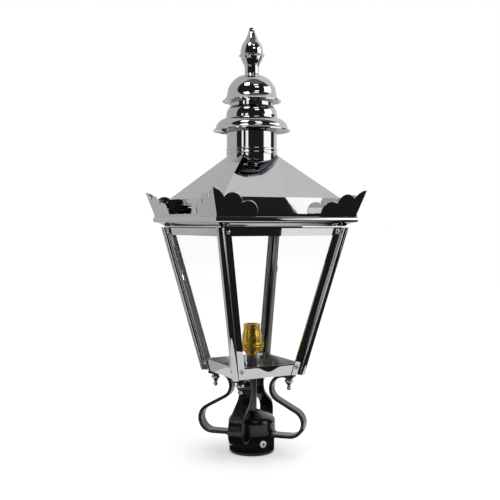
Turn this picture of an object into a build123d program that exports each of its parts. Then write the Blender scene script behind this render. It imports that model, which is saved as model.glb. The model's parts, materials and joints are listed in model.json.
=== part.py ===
import math
import os

from build123d import *

# A square tapered lantern on a cast bracket that slips over a post.
# Millimetres. Origin at the centre of the socket's lower rim, +Z up, -Y is the front.

# ---- driving sizes: post socket and bracket casting ----
post_diameter = 76.0
socket_clearance = 0.3          # radial room between post and bore
socket_wall = 7.0
socket_depth = 66.0
foot_height = 27.0              # straight band at the bottom of the socket
foot_round = 4.0
swell_rise = 13.0               # height over which the band swells to the waist
socket_swell = 2.0
shoulder_drop = 4.0             # the shoulder starts this far below the bore's end
shoulder_radius = 12.0
crown_angle = 23.0
hub_radius = 16.0
arm_reach = 111.0               # outermost point of a scroll arm, from the axis
arm_throat = 38.6               # innermost point of its upper curl
arm_root_height = 36.5
arm_thickness = 6.5
arm_width_low = 31.0
arm_width_top = 24.0
arm_lower_radius = 27.0
arm_upper_radius = 26.0
arm_edge_round = 2.4
arm_flare = 7.0                 # fillet above and below the root
pad_end = 89.0                  # radius where an arm's flat top ends
clamp_screw_height = 24.0
clamp_screw_radius = 4.0
clamp_head_radius = 7.0
clamp_head_height = 3.8
clamp_hex_width = 5.5
clamp_stand_off = 1.2           # room under the head for tightening
clamp_screw_length = 8.0

# ---- driving sizes: glazed body ----
tray_height = 160.5             # underside of the tray above the socket's rim
body_height = 291.5             # from that underside to the roof's seat
base_half = 71.0                # half-width over the flanges at the foot
top_half = 133.0                # half-width over the flanges at the roof's seat
sheet = 1.5
fascia_height = 23.0
fascia_hem = 2.4
frieze_height = 16.0
frame_lip = 19.0                # from the flange plane in to the top frame's opening
flange_width = 20.0
bead_radius = 6.5
bead_offset = 1.5
post_top_gap = 0.4
glass_thickness = 3.0
glass_setback = 3.5             # from the inner face of tray and frame to the glass
glass_corner_gap = 1.0
glass_head_gap = 0.5
strip_inset = 2.0
strip_width = 6.0
strip_end_gap = 0.5
clip_width = 12.0
clip_height = 10.0
clip_foot = 5.0
clip_thickness = 1.2
clip_spacing = 50.0
seal_thickness = 1.5
seal_width = 15.0
flange_screw_inset = 13.5
flange_screw_foot = 15.5        # above the tray's underside
flange_screw_head = 8.0         # below the roof's seat
flange_screw_radius = 2.0
flange_dome_radius = 4.0
flange_dome_height = 2.6
washer_thickness = 1.2
square_washer_width = 9.5
round_washer_radius = 4.7
flange_nut_width = 7.0
flange_nut_height = 2.3
screw_tip = 0.5

# ---- driving sizes: fixings of the tray, conduit and earth ----
base_bolt_place = 77.5          # from the axis, on the diagonals
base_bolt_radius = 3.0
base_bolt_head_radius = 5.2
base_bolt_head_height = 3.4
acorn_washer_radius = 9.5
acorn_washer_thickness = 1.5
acorn_radius = 8.8
acorn_height = 25.0
acorn_ball_radius = 4.8
conduit_radius = 10.0
conduit_wall = 1.6
conduit_seat = 8.0              # how far the conduit enters the socket's crown
locknut_width = 27.0
locknut_height = 4.0
earth_place = 38.0
earth_radius = 2.5
earth_nut_width = 8.0
earth_nut_height = 4.0
earth_length = 14.0

# ---- driving sizes: lampholder ----
holder_height = 35.5            # its underside above the tray's underside
holder_entry = 12.0             # how far the conduit goes into it
holder_cup_radius = 20.0
holder_cup_height = 15.5
holder_wall = 1.4
holder_lower_radius = 19.6
holder_lower_height = 14.0
holder_taper_height = 12.0
holder_upper_radius = 16.8
holder_upper_height = 12.0
shade_ring_radius = 23.4
shade_ring_height = 4.0
shade_ring_gap = 0.6
lamp_cap_diameter = 22.0
lamp_cap_clearance = 0.15
sleeve_wall = 1.2
sleeve_depth = 30.0
sleeve_grip = 22.0              # length of the sleeve that fits the lamp's cap
sleeve_relief = 0.6             # how much wider it is below that
insulator_height = 12.0
bayonet_slot = 2.6
bayonet_drop = 9.0
bayonet_turn = 25.0
plunger_radius = 2.2
plunger_spacing = 11.0
plunger_length = 12.0
plunger_rise = 7.0
plunger_travel = 4.0
spring_wire = 0.6
plunger_fit = 0.05

# ---- driving sizes: hinged roof ----
cornice_reach = 17.0            # from the flange plane out to the crests
cornice_lip = 0.6
cornice_band = 2.2
cove_rise = 7.8
cove_hollow = 1.6
bead_rise = 10.0
bead_bulge = 2.3
cornice_fillet = 5.4
ledge_width = 15.0              # lower flange, from the flange plane inwards
crest_height = 45.0
crest_span = 82.0
crest_lean = 16.9
crest_sheet = 1.2
crest_foot = 9.0
crest_rivet_radius = 1.6
crest_rivet_head = 3.0
deck_width = 23.0               # from the crests in to the curb
curb_height = 31.0
deck_overlap = 2.0
roof_slope = 43.7
tube_radius = 50.0
tube_rise = 75.0                # from the roof's hips to the tube's top
tube_drop = 20.0                # from the hips down to its lower end
tube_vent_radius = 5.0
tube_vent_count = 10
tube_vent_drop = 17.0
foot_ring_height = 12.0
foot_ring_lift = 0.3
foot_ring_wall = 0.5
foot_ring_bulge = 0.7
skirt_reach = 25.2              # from the tube out to the skirt's rim
skirt_drop = 27.0
canopy_rim_height = 1.8
canopy_rim_width = 2.4
collar_height = 35.0
collar_inset = 7.0              # how much narrower its neck is than the tube
collar_swell = 0.8
waist_height = 21.0
dome_lip_rise = 31.4
dome_top_rise = 82.5
dome_reach = 15.5               # from the collar's neck out to the dome's rim
dome_flat_radius = 19.0
finial_height = 94.5
finial_foot_radius = 17.0
finial_foot_height = 4.5
finial_neck_radius = 14.2
finial_neck_height = 17.0
finial_rib_radius = 26.2
finial_rib_height = 39.4
finial_rib_thickness = 5.2
finial_bowl_radius = 22.0
finial_bud_radius = 22.8
finial_tip_radius = 5.0
finial_tip_bevel = 0.6
finial_socket = 24.0
rod_radius = 4.0
rod_clearance = 0.3
bridge_length = 104.0
bridge_width = 20.0
bridge_thickness = 3.0
spider_thickness = 2.0
spider_width = 10.0
spacer_wall = 2.0
rod_nut_width = 13.0
rod_nut_height = 6.5

# ---- driving sizes: hinges ----
hinge_spacing = 140.0
hinge_width = 34.0
hinge_reach = 10.0              # from the flange plane out to the pin
hinge_sheet = 1.2
knuckle_radius = 3.2
hinge_pin_radius = 2.0
hinge_pin_fit = 0.05
hinge_pin_head = 3.0
hinge_pin_head_length = 1.0
knuckle_gap = 0.3
hinge_leaf_drop = 9.0
hinge_rivet_radius = 1.5
hinge_rivet_head = 2.6
hinge_rivet_head_height = 1.2
strap_gap = 0.3
seal_notch = 1.0

# ---- clearances used everywhere ----
close_fit = 0.05                # between two pieces that fit round each other
drill_gap = 0.1                 # a hole's radius over its screw's

# ---- places worked out from the driving sizes ----
bore_radius = post_diameter / 2 + socket_clearance
foot_radius = bore_radius + socket_wall
waist_radius = foot_radius + socket_swell
waist_top = socket_depth - shoulder_drop
conduit_bore = conduit_radius - conduit_wall
frame_opening_half = top_half - frame_lip
cornice_ledge = top_half - ledge_width
cornice_half = top_half + cornice_reach
curb_half = cornice_half - deck_width
slope = (top_half - base_half) / body_height
lean = math.degrees(math.atan(slope))
seat_height = tray_height + body_height
tray_floor = tray_height + sheet
frame_top = seat_height - seal_thickness
frieze_foot = seat_height - frieze_height
cornice_top = seat_height + cornice_band + cove_rise + bead_rise + cornice_fillet
curb_top = cornice_top + curb_height
roof_rate = math.tan(math.radians(roof_slope))
hip_height = curb_top + (curb_half - tube_radius / math.sqrt(2)) * roof_rate
tube_top = hip_height + tube_rise
tube_foot = hip_height - tube_drop
collar_radius = tube_radius - collar_inset
collar_top = tube_top + collar_height
dome_lip = tube_top + dome_lip_rise
dome_top = tube_top + dome_top_rise
finial_top = dome_top + finial_height
holder_foot = tray_height + holder_height
ring_foot = holder_foot + holder_cup_height
skirt_foot = ring_foot + 2 * shade_ring_height + shade_ring_gap
skirt_step = skirt_foot + holder_lower_height
skirt_mouth = skirt_step + holder_taper_height
holder_top = skirt_mouth + holder_upper_height
sleeve_radius = lamp_cap_diameter / 2 + lamp_cap_clearance
insulator_foot = holder_top - sleeve_depth - insulator_height
hinge_y = top_half + hinge_reach
strap_top = seat_height
hinge_z = strap_top - knuckle_radius
far = 2 * cornice_half          # long enough to cut through anything


def face_half(z):
    """Half-width over the post flanges at height z."""
    return base_half + slope * (z - tray_height)


def glass_half(z):
    """Half-width over the outer face of the glass at height z."""
    return face_half(z) - 2 * sheet - glass_setback


# ---- drawing helpers ----
def run_curve(points):
    """Two points are a line, three an arc, more a smooth curve."""
    if len(points) == 2:
        return Line(*points)
    if len(points) == 3:
        return ThreePointArc(*points)
    return Spline(*points)


def stretched(points, inner, reach, low, rise):
    """A run drawn in shares of its reach and rise, put where it belongs."""
    return [(inner + reach * out, low + rise * up) for out, up in points]


def unit(a, b):
    length = math.hypot(b[0] - a[0], b[1] - a[1])
    return ((b[0] - a[0]) / length, (b[1] - a[1]) / length)


def shifted_point(before, point, after, wall):
    """The point moved to its left by the wall, mitred between its two neighbours."""
    first = unit(before, point)
    second = unit(point, after)
    normal = (-(first[1] + second[1]), first[0] + second[0])
    size = math.hypot(*normal)
    normal = (normal[0] / size, normal[1] / size)
    cosine = -normal[0] * first[1] + normal[1] * first[0]
    return (point[0] + normal[0] * wall / cosine, point[1] + normal[1] * wall / cosine)


def shell_section(runs, wall):
    """A sheet of even wall whose outer face is the runs; the wall lies to their left."""
    chain = [runs[0][0]] + [point for run in runs for point in run[1:]]
    ends = [(2 * chain[0][0] - chain[1][0], 2 * chain[0][1] - chain[1][1]),
            (2 * chain[-1][0] - chain[-2][0], 2 * chain[-1][1] - chain[-2][1])]
    padded = [ends[0]] + chain + [ends[1]]
    inner = [shifted_point(padded[i], padded[i + 1], padded[i + 2], wall) for i in range(len(chain))]
    edges = []
    start = 0
    for run in runs:
        stop = start + len(run) - 1
        edges.append(run_curve(chain[start:stop + 1]))
        edges.append(run_curve(inner[start:stop + 1]))
        start = stop
    edges.append(Line(chain[0], inner[0]))
    edges.append(Line(chain[-1], inner[-1]))
    return make_face(edges)


def spun(face):
    """A full turn of a section drawn as (radius, height)."""
    return revolve(Plane.XZ * face, axis=Axis.Z, revolution_arc=360)


def section(*points):
    return make_face(Polyline(*points, close=True))


def square_ring(face):
    """Four mitred sides of a section drawn as (half-width, height)."""
    side = extrude(Plane.XZ * face, amount=far, both=True)
    wedge = extrude(section((0, 0), (far, -far), (far, far)), amount=4 * far)
    quarter = side & Pos(0, 0, -far) * wedge
    ring = quarter
    for turn in range(1, 4):
        ring += Rot(0, 0, 90 * turn) * quarter
    return ring


def washer(outer, inner, height):
    return extrude(Circle(outer) - Circle(inner), amount=height)


def cap_face(radius, low, height):
    """Half of a spherical cap's section, standing on the level line at low."""
    ball = (radius ** 2 + height ** 2) / (2 * height)
    half = math.asin(radius / ball) / 2 if height < radius else math.pi / 4
    middle = (ball * math.sin(half), low + height - ball * (1 - math.cos(half)))
    return make_face([ThreePointArc((radius, low), middle, (0, low + height)),
                      Line((0, low + height), (0, low)), Line((0, low), (radius, low))])


def hexagon(width):
    return RegularPolygon(width / 2, 6, major_radius=False)


def quarters(piece, first=0):
    return [Rot(0, 0, first + 90 * turn) * piece for turn in range(4)]


def on_side(z, across, turn):
    """A frame on the flange plane of one side, its Z axis pointing out of the lantern."""
    out = Vector(math.cos(math.radians(lean)), 0, -math.sin(math.radians(lean)))
    place = Plane(origin=(face_half(z), across, z), x_dir=(0, 1, 0), z_dir=out)
    return Rot(0, 0, 90 * turn) * place.location


def group(solids):
    return Compound(children=[Solid(item.solids()[0].wrapped) for item in solids])


# ---- bracket casting ----
def socket_body():
    top_angle = 90 - crown_angle
    centre = (waist_radius - shoulder_radius, waist_top)
    on_shoulder = [(centre[0] + shoulder_radius * math.cos(math.radians(a)),
                    centre[1] + shoulder_radius * math.sin(math.radians(a)))
                   for a in (0, top_angle / 2, top_angle)]
    crown = on_shoulder[2][1] + (on_shoulder[2][0] - hub_radius) * math.tan(math.radians(crown_angle))
    corner = foot_round * (1 - math.sqrt(0.5))
    seat = conduit_radius + close_fit
    edges = [
        Line((bore_radius, 0), (foot_radius - foot_round, 0)),
        ThreePointArc((foot_radius - foot_round, 0), (foot_radius - corner, corner),
                      (foot_radius, foot_round)),
        Line((foot_radius, foot_round), (foot_radius, foot_height)),
        Line((foot_radius, foot_height), (waist_radius, foot_height + swell_rise)),
        Line((waist_radius, foot_height + swell_rise), (waist_radius, waist_top)),
        ThreePointArc(*on_shoulder),
        Line(on_shoulder[2], (hub_radius, crown)),
        Line((hub_radius, crown), (seat, crown)),
        Line((seat, crown), (seat, crown - conduit_seat)),
        Line((seat, crown - conduit_seat), (conduit_bore, crown - conduit_seat)),
        Line((conduit_bore, crown - conduit_seat), (conduit_bore, socket_depth)),
        Line((conduit_bore, socket_depth), (bore_radius, socket_depth)),
        Line((bore_radius, socket_depth), (bore_radius, 0)),
    ]
    return spun(make_face(edges)), crown


def circle_point(centre, radius, angle):
    return (centre[0] + radius * math.cos(angle), centre[1] + radius * math.sin(angle))


def arc_between(centre, radius, start, stop):
    return ThreePointArc(circle_point(centre, radius, start),
                         circle_point(centre, radius, (start + stop) / 2),
                         circle_point(centre, radius, stop))


def arm_face():
    """Side view of one scroll arm, drawn as (radius, height)."""
    half = arm_thickness / 2
    lower = (arm_reach - half - arm_lower_radius, arm_root_height + arm_lower_radius)
    upper = (arm_throat + half + arm_upper_radius, tray_height - half - arm_upper_radius)
    apart = math.hypot(upper[0] - lower[0], upper[1] - lower[1])
    heading = (math.atan2(upper[1] - lower[1], upper[0] - lower[0])
               + math.asin((arm_lower_radius + arm_upper_radius) / apart))
    down = -math.pi / 2
    leave = heading - math.pi / 2
    arrive = heading + math.pi / 2
    up = math.pi / 2
    embedded = math.sqrt(waist_radius ** 2 - (arm_width_low / 2) ** 2)
    root = bore_radius + socket_wall / 2
    low, high = arm_root_height - half, arm_root_height + half
    quarter = arm_flare * (1 - math.sqrt(0.5))
    edges = [
        Line((root, low - arm_flare), (embedded, low - arm_flare)),
        ThreePointArc((embedded, low - arm_flare), (embedded + quarter, low - quarter),
                      (embedded + arm_flare, low)),
        Line((embedded + arm_flare, low), (lower[0], low)),
        arc_between(lower, arm_lower_radius + half, down, leave),
        Line(circle_point(lower, arm_lower_radius + half, leave),
             circle_point(upper, arm_upper_radius - half, arrive)),
        arc_between(upper, arm_upper_radius - half, arrive, up),
        Line((upper[0], tray_height - arm_thickness), (pad_end, tray_height - arm_thickness)),
        Line((pad_end, tray_height - arm_thickness), (pad_end, tray_height)),
        Line((pad_end, tray_height), (upper[0], tray_height)),
        arc_between(upper, arm_upper_radius + half, up, arrive),
        Line(circle_point(upper, arm_upper_radius + half, arrive),
             circle_point(lower, arm_lower_radius - half, leave)),
        arc_between(lower, arm_lower_radius - half, leave, down),
        Line((lower[0], high), (embedded + arm_flare, high)),
        ThreePointArc((embedded + arm_flare, high), (embedded + quarter, high + quarter),
                      (embedded, high + arm_flare)),
        Line((embedded, high + arm_flare), (root, high + arm_flare)),
        Line((root, high + arm_flare), (root, low - arm_flare)),
    ]
    return make_face(edges), root


def scroll_arm():
    face, root = arm_face()
    bar = extrude(Plane.XZ * face, amount=arm_width_low, both=True)
    low = arm_root_height - arm_thickness / 2 - arm_flare
    taper = section((-arm_width_low / 2, low), (arm_width_low / 2, low),
                    (arm_width_top / 2, tray_height), (-arm_width_top / 2, tray_height))
    bar = bar & extrude(Plane.YZ * taper, amount=arm_reach)
    side_edges = [edge for edge in bar.edges()
                  if abs(edge.center().Y) > arm_width_top / 2 - 1
                  and edge.center().X > root + 0.1
                  and abs(edge.center().X - pad_end) > 0.1]
    return fillet(side_edges, arm_edge_round)


def post_bracket():
    body, crown = socket_body()
    for arm in quarters(scroll_arm(), 45):
        body += arm
    drill = Rot(0, 90, 0) * Cylinder(clamp_screw_radius + close_fit, 2 * waist_radius)
    body -= Pos(waist_radius, 0, clamp_screw_height) * drill
    for turn in range(1, 4):
        body -= Rot(0, 0, 90 * turn) * Pos(waist_radius, 0, clamp_screw_height) * drill
    hole = Cylinder(base_bolt_radius + drill_gap, 4 * arm_thickness)
    for place in quarters(Pos(base_bolt_place, 0, tray_height) * hole, 45):
        body -= place
    clear = Cylinder(bore_radius, socket_depth, align=(Align.CENTER, Align.CENTER, Align.MIN))
    return body - clear, crown


def clamp_screw():
    """Button-head screw along X, its head standing off the socket by the tightening room."""
    half_round = clamp_head_height * 0.75
    dome = make_face([
        Line((0, 0), (clamp_head_radius, 0)),
        Line((clamp_head_radius, 0), (clamp_head_radius, clamp_head_height - half_round)),
        ThreePointArc((clamp_head_radius, clamp_head_height - half_round),
                      (clamp_head_radius * 0.86, clamp_head_height - half_round * 0.36),
                      (clamp_head_radius * 0.5, clamp_head_height)),
        Line((clamp_head_radius * 0.5, clamp_head_height), (0, clamp_head_height)),
        Line((0, clamp_head_height), (0, 0)),
    ])
    screw = spun(dome)
    recess = extrude(hexagon(clamp_hex_width), amount=clamp_head_height)
    screw -= Pos(0, 0, clamp_head_height * 0.3) * recess
    shank = Cylinder(clamp_screw_radius, clamp_screw_length,
                     align=(Align.CENTER, Align.CENTER, Align.MAX))
    screw += shank
    return Pos(foot_radius + clamp_stand_off, 0, clamp_screw_height) * Rot(0, 90, 0) * screw


# ---- fixings through the flanges of the glazed body ----
def flange_screw_places():
    """Height, offset across the side, side number and whether it is an upper one."""
    places = []
    for turn in range(4):
        for upper in (False, True):
            z = seat_height - flange_screw_head if upper else tray_height + flange_screw_foot
            for side in (-1, 1):
                places.append((z, side * (face_half(z) - flange_screw_inset), turn, upper))
    return places


def two_sheets():
    return 2 * sheet * math.cos(math.radians(lean))


def flange_holes():
    drill = Cylinder(flange_screw_radius + drill_gap, 12 * sheet)
    return [on_side(z, across, turn) * drill for z, across, turn, upper in flange_screw_places()]


def flange_screw():
    rise = washer_thickness
    dome = spun(cap_face(flange_dome_radius, rise, flange_dome_height))
    depth = two_sheets() + flange_nut_height + screw_tip
    shank = Cylinder(flange_screw_radius, depth + rise, align=(Align.CENTER, Align.CENTER, Align.MAX))
    return dome + Pos(0, 0, rise) * shank


def flange_washer(upper):
    hole = flange_screw_radius + drill_gap
    if upper:
        plate = Rectangle(square_washer_width, square_washer_width) - Circle(hole)
        return extrude(plate, amount=washer_thickness)
    return washer(round_washer_radius, hole, washer_thickness)


def flange_nut():
    ring = hexagon(flange_nut_width) - Circle(flange_screw_radius + close_fit)
    return Pos(0, 0, -two_sheets() - flange_nut_height) * extrude(ring, amount=flange_nut_height)


def placed_fixings(make):
    return group([on_side(z, across, turn) * make(upper)
                  for z, across, turn, upper in flange_screw_places()])


# ---- glazed body ----
def leaning(face):
    """A level section at the tray's underside, carried up along a corner to the roof's seat."""
    along = Vector(slope, slope, 1)
    height = body_height - post_top_gap
    return extrude(Pos(0, 0, tray_height) * face, amount=along.length * height, dir=along)


def bead_circle(radius):
    centre = base_half + bead_offset
    return Pos(centre, centre) * Circle(radius)


def corner_post():
    low = base_half - flange_width
    angle = section((low, base_half), (low, base_half - sheet), (base_half - sheet, base_half - sheet),
                    (base_half - sheet, low), (base_half, low), (base_half, base_half))
    rolled = angle + bead_circle(bead_radius) - bead_circle(bead_radius - sheet)
    return leaning(rolled)


def corner_reliefs():
    return quarters(leaning(bead_circle(bead_radius + close_fit)))


def base_tray():
    low, high = tray_height, tray_height + fascia_height
    hem = high - sheet
    side = section(
        (0, low), (face_half(low) - sheet, low), (face_half(high) - sheet, high),
        (face_half(high) - 2 * sheet - fascia_hem, high),
        (face_half(hem) - 2 * sheet - fascia_hem, hem), (face_half(hem) - 2 * sheet, hem),
        (face_half(tray_floor) - 2 * sheet, tray_floor), (0, tray_floor))
    tray = square_ring(side)
    tray -= Pos(0, 0, tray_floor) * Cylinder(conduit_radius + drill_gap, 4 * sheet)
    bolt_hole = Cylinder(base_bolt_radius + drill_gap, 4 * sheet)
    for place in quarters(Pos(base_bolt_place, 0, tray_floor) * bolt_hole, 45):
        tray -= place
    tray -= Pos(-earth_place, earth_place / 2, tray_floor) * Cylinder(earth_radius + drill_gap, 4 * sheet)
    for cut in corner_reliefs() + flange_holes():
        tray -= cut
    return tray


def hinge_rivet_holes():
    drill = Cylinder(hinge_rivet_radius + close_fit, 12 * sheet)
    return [on_side(z, across, 1) * drill for z, across in frame_rivet_places()]


def top_frame():
    low = frieze_foot
    high = frame_top
    shelf = high - sheet
    side = section(
        (face_half(low) - sheet, low), (face_half(high) - sheet, high), (frame_opening_half, high),
        (frame_opening_half, shelf), (face_half(shelf) - 2 * sheet, shelf), (face_half(low) - 2 * sheet, low))
    frame = square_ring(side)
    for cut in corner_reliefs() + flange_holes() + hinge_rivet_holes():
        frame -= cut
    return frame


def glass_pane():
    """The pane of the +X side, standing on the tray's floor."""
    low = tray_floor
    high = frame_top - sheet - glass_head_gap
    thick = glass_thickness
    slab = extrude(Plane.XZ * section((glass_half(low), low), (glass_half(high), high),
                                      (glass_half(high) - thick, high), (glass_half(low) - thick, low)),
                   amount=far, both=True)
    low_half = glass_half(low) - thick - glass_corner_gap
    high_half = glass_half(high) - thick - glass_corner_gap
    outline = section((-low_half, low), (low_half, low), (high_half, high), (-high_half, high))
    return slab & extrude(Plane.YZ * outline, amount=far)


def glazing_strips():
    low = tray_height + fascia_height + strip_end_gap
    high = frieze_foot - strip_end_gap
    slab = extrude(Plane.XZ * section((glass_half(low), low), (glass_half(high), high),
                                      (face_half(high) - sheet, high), (face_half(low) - sheet, low)),
                   amount=far, both=True)
    strips = []
    for side in (-1, 1):
        inner = [side * (face_half(z) - flange_width + strip_inset) for z in (low, high)]
        outer = [side * (face_half(z) - flange_width + strip_inset + strip_width) for z in (low, high)]
        outline = section((inner[0], low), (outer[0], low), (outer[1], high), (inner[1], high))
        strips += quarters(slab & extrude(Plane.YZ * outline, amount=far))
    return group(strips)


def pane_clip(upper):
    """A small angle behind a pane, its foot on the tray's floor or under the frame's flange."""
    seat = frame_top - sheet if upper else tray_floor
    way = -1 if upper else 1
    tip = seat + way * clip_height
    knee = seat + way * clip_thickness

    def back(z):
        return glass_half(z) - glass_thickness - close_fit

    side = section(
        (back(seat), seat), (back(tip), tip), (back(tip) - clip_thickness, tip),
        (back(knee) - clip_thickness, knee), (back(knee) - clip_thickness - clip_foot, knee),
        (back(knee) - clip_thickness - clip_foot, seat))
    return extrude(Plane.XZ * side, amount=clip_width / 2, both=True)


def pane_clips():
    clips = []
    for upper in (False, True):
        for across in (-1, 1):
            clips += quarters(Pos(0, across * clip_spacing / 2, 0) * pane_clip(upper))
    return group(clips)


def lid_seal():
    outer = face_half(frame_top) - 2 * sheet
    ring = square_ring(section((outer - seal_width, frame_top), (outer, frame_top),
                               (outer, seat_height), (outer - seal_width, seat_height)))
    notch = Box(hinge_width + 2 * seal_notch, seal_width, 4 * seal_thickness,
                align=(Align.CENTER, Align.MIN, Align.CENTER))
    for across in (-1, 1):
        ring -= Pos(across * hinge_spacing / 2, cornice_ledge, seat_height) * notch
    for cut in corner_reliefs():
        ring -= cut
    return ring


# ---- fixings of the tray ----
def base_bolt_end():
    return tray_height - arm_thickness - acorn_washer_thickness


def base_bolts():
    depth = tray_floor - base_bolt_end() + acorn_height * 0.45
    shank = Cylinder(base_bolt_radius, depth, align=(Align.CENTER, Align.CENTER, Align.MAX))
    head = Cylinder(base_bolt_head_radius, base_bolt_head_height,
                    align=(Align.CENTER, Align.CENTER, Align.MIN))
    rim = head.edges().group_by(Axis.Z)[-1]
    bolt = shank + fillet(rim, base_bolt_head_height * 0.4)
    return group(quarters(Pos(base_bolt_place, 0, tray_floor) * bolt, 45))


def acorn_washers():
    ring = washer(acorn_washer_radius, base_bolt_radius + drill_gap, acorn_washer_thickness)
    return group(quarters(Pos(base_bolt_place, 0, base_bolt_end()) * ring, 45))


def acorn_nuts():
    """Turned nuts: a collar, an onion-shaped cup, a neck and a ball."""
    h, r, ball = acorn_height, acorn_radius, acorn_ball_radius
    neck = -h + 1.8 * ball
    outline = make_face([
        Line((0, 0), (r * 0.8, 0)),
        Line((r * 0.8, 0), (r * 0.8, -h * 0.1)),
        ThreePointArc((r * 0.8, -h * 0.1), (r, -h * 0.24), (r * 0.72, -h * 0.42)),
        Line((r * 0.72, -h * 0.42), (ball * 0.6, neck)),
        ThreePointArc((ball * 0.6, neck), (ball, -h + ball), (0, -h)),
        Line((0, -h), (0, 0)),
    ])
    nut = spun(outline)
    thread = Cylinder(base_bolt_radius + close_fit, h * 0.5,
                      align=(Align.CENTER, Align.CENTER, Align.MAX))
    nut -= thread
    return group(quarters(Pos(base_bolt_place, 0, base_bolt_end()) * nut, 45))


def cable_conduit(crown):
    low = crown - conduit_seat
    high = holder_foot + holder_entry
    return Pos(0, 0, low) * washer(conduit_radius, conduit_bore, high - low)


def conduit_locknuts():
    ring = extrude(hexagon(locknut_width) - Circle(conduit_radius + close_fit), amount=locknut_height)
    return group([Pos(0, 0, tray_floor) * ring, Pos(0, 0, tray_height - locknut_height) * ring])


def earth_terminal():
    bolt = extrude(hexagon(earth_nut_width), amount=-earth_nut_height)
    bolt += Cylinder(earth_radius, earth_length, align=(Align.CENTER, Align.CENTER, Align.MIN))
    nut = extrude(hexagon(earth_nut_width) - Circle(earth_radius + close_fit), amount=earth_nut_height)
    place = Pos(-earth_place, earth_place / 2, 0)
    return group([place * Pos(0, 0, tray_height) * bolt, place * Pos(0, 0, tray_floor) * nut])


# ---- lampholder ----
def holder_cap():
    """Brass cup that screws on the conduit and carries the insulator."""
    entry = conduit_radius + close_fit
    lip = conduit_radius + holder_wall + 1.2
    low, high = holder_foot, ring_foot
    knee = low + holder_cup_height * 0.6
    outer = [[(entry, low), (lip, low)], [(lip, low), (lip, low + 3)],
             [(lip, low + 3), (holder_cup_radius, knee)],
             [(holder_cup_radius, knee), (holder_cup_radius, high)]]
    cup = spun(shell_section(outer, holder_wall))
    boss = washer(lip - 0.2, entry, holder_entry)
    return cup + Pos(0, 0, low) * boss


def shade_rings():
    """Two knurled rings that clamp a shade; the knurl is left to the finish."""
    groove = shade_ring_height * 0.25
    inner = holder_lower_radius - holder_wall * 2 + close_fit
    ring = Cylinder(shade_ring_radius, shade_ring_height, align=(Align.CENTER, Align.CENTER, Align.MIN))
    ring = fillet(ring.edges(), groove) - Cylinder(inner, 4 * shade_ring_height)
    second = ring_foot + shade_ring_height + shade_ring_gap
    return group([Pos(0, 0, ring_foot) * ring, Pos(0, 0, second) * ring])


def holder_skirt():
    """Outer brass barrel that tapers to its mouth, its neck passing down through the shade rings."""
    neck = holder_lower_radius - holder_wall * 2
    wall = holder_wall
    mouth = sleeve_radius + sleeve_wall + close_fit
    outline = section(
        (neck, ring_foot), (neck, skirt_foot), (holder_lower_radius, skirt_foot),
        (holder_lower_radius, skirt_step), (holder_upper_radius, skirt_mouth),
        (holder_upper_radius, holder_top), (mouth, holder_top), (mouth, holder_top - wall),
        (holder_upper_radius - wall, holder_top - wall), (holder_upper_radius - wall, skirt_mouth - wall / 2),
        (neck - wall, skirt_step), (neck - wall, ring_foot))
    return spun(outline)


def bayonet_cut():
    """A J-shaped slot from the mouth down and then round."""
    depth = 3 * sleeve_wall
    mid = sleeve_radius + sleeve_wall / 2
    down = Box(depth, bayonet_slot, 2 * bayonet_drop)
    turn = Pos(0, 0, -bayonet_drop + bayonet_slot / 2) * (
        washer(mid + depth / 2, mid - depth / 2, bayonet_slot)
        & extrude(section((0, 0), (far, 0), (far * math.cos(math.radians(bayonet_turn)),
                                             far * math.sin(math.radians(bayonet_turn)))), amount=far))
    return Pos(0, 0, holder_top) * (Pos(mid, 0, 0) * down + turn)


def holder_sleeve():
    foot = Pos(0, 0, holder_top - sleeve_depth)
    sleeve = foot * washer(sleeve_radius + sleeve_wall, sleeve_radius, sleeve_depth)
    sleeve -= foot * Cylinder(sleeve_radius + sleeve_relief, sleeve_depth - sleeve_grip,
                              align=(Align.CENTER, Align.CENTER, Align.MIN))
    for turn in (0, 180):
        sleeve -= Rot(0, 0, turn) * bayonet_cut()
    return sleeve


def holder_insulator():
    """Ceramic block under the sleeve, bored for the two plungers."""
    radius = holder_lower_radius - 3 * holder_wall - close_fit
    block = Pos(0, 0, insulator_foot) * Cylinder(radius, insulator_height,
                                                 align=(Align.CENTER, Align.CENTER, Align.MIN))
    for side in (-1, 1):
        bore = Cylinder(plunger_radius + plunger_fit, insulator_height,
                        align=(Align.CENTER, Align.CENTER, Align.MIN))
        block -= Pos(side * plunger_spacing / 2, 0, insulator_foot + 1.5) * bore
    return block


def plunger_top():
    return insulator_foot + insulator_height + plunger_rise


def contact_plunger(side):
    pin = Cylinder(plunger_radius, plunger_length, align=(Align.CENTER, Align.CENTER, Align.MAX))
    tip = pin.edges().group_by(Axis.Z)[-1]
    return Pos(side * plunger_spacing / 2, 0, plunger_top()) * fillet(tip, plunger_radius * 0.4)


def plunger_spring(side):
    low = insulator_foot + 1.5
    high = plunger_top() - plunger_length
    outer = plunger_radius - 0.3
    return Pos(side * plunger_spacing / 2, 0, low) * washer(outer, outer - spring_wire, high - low)


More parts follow.
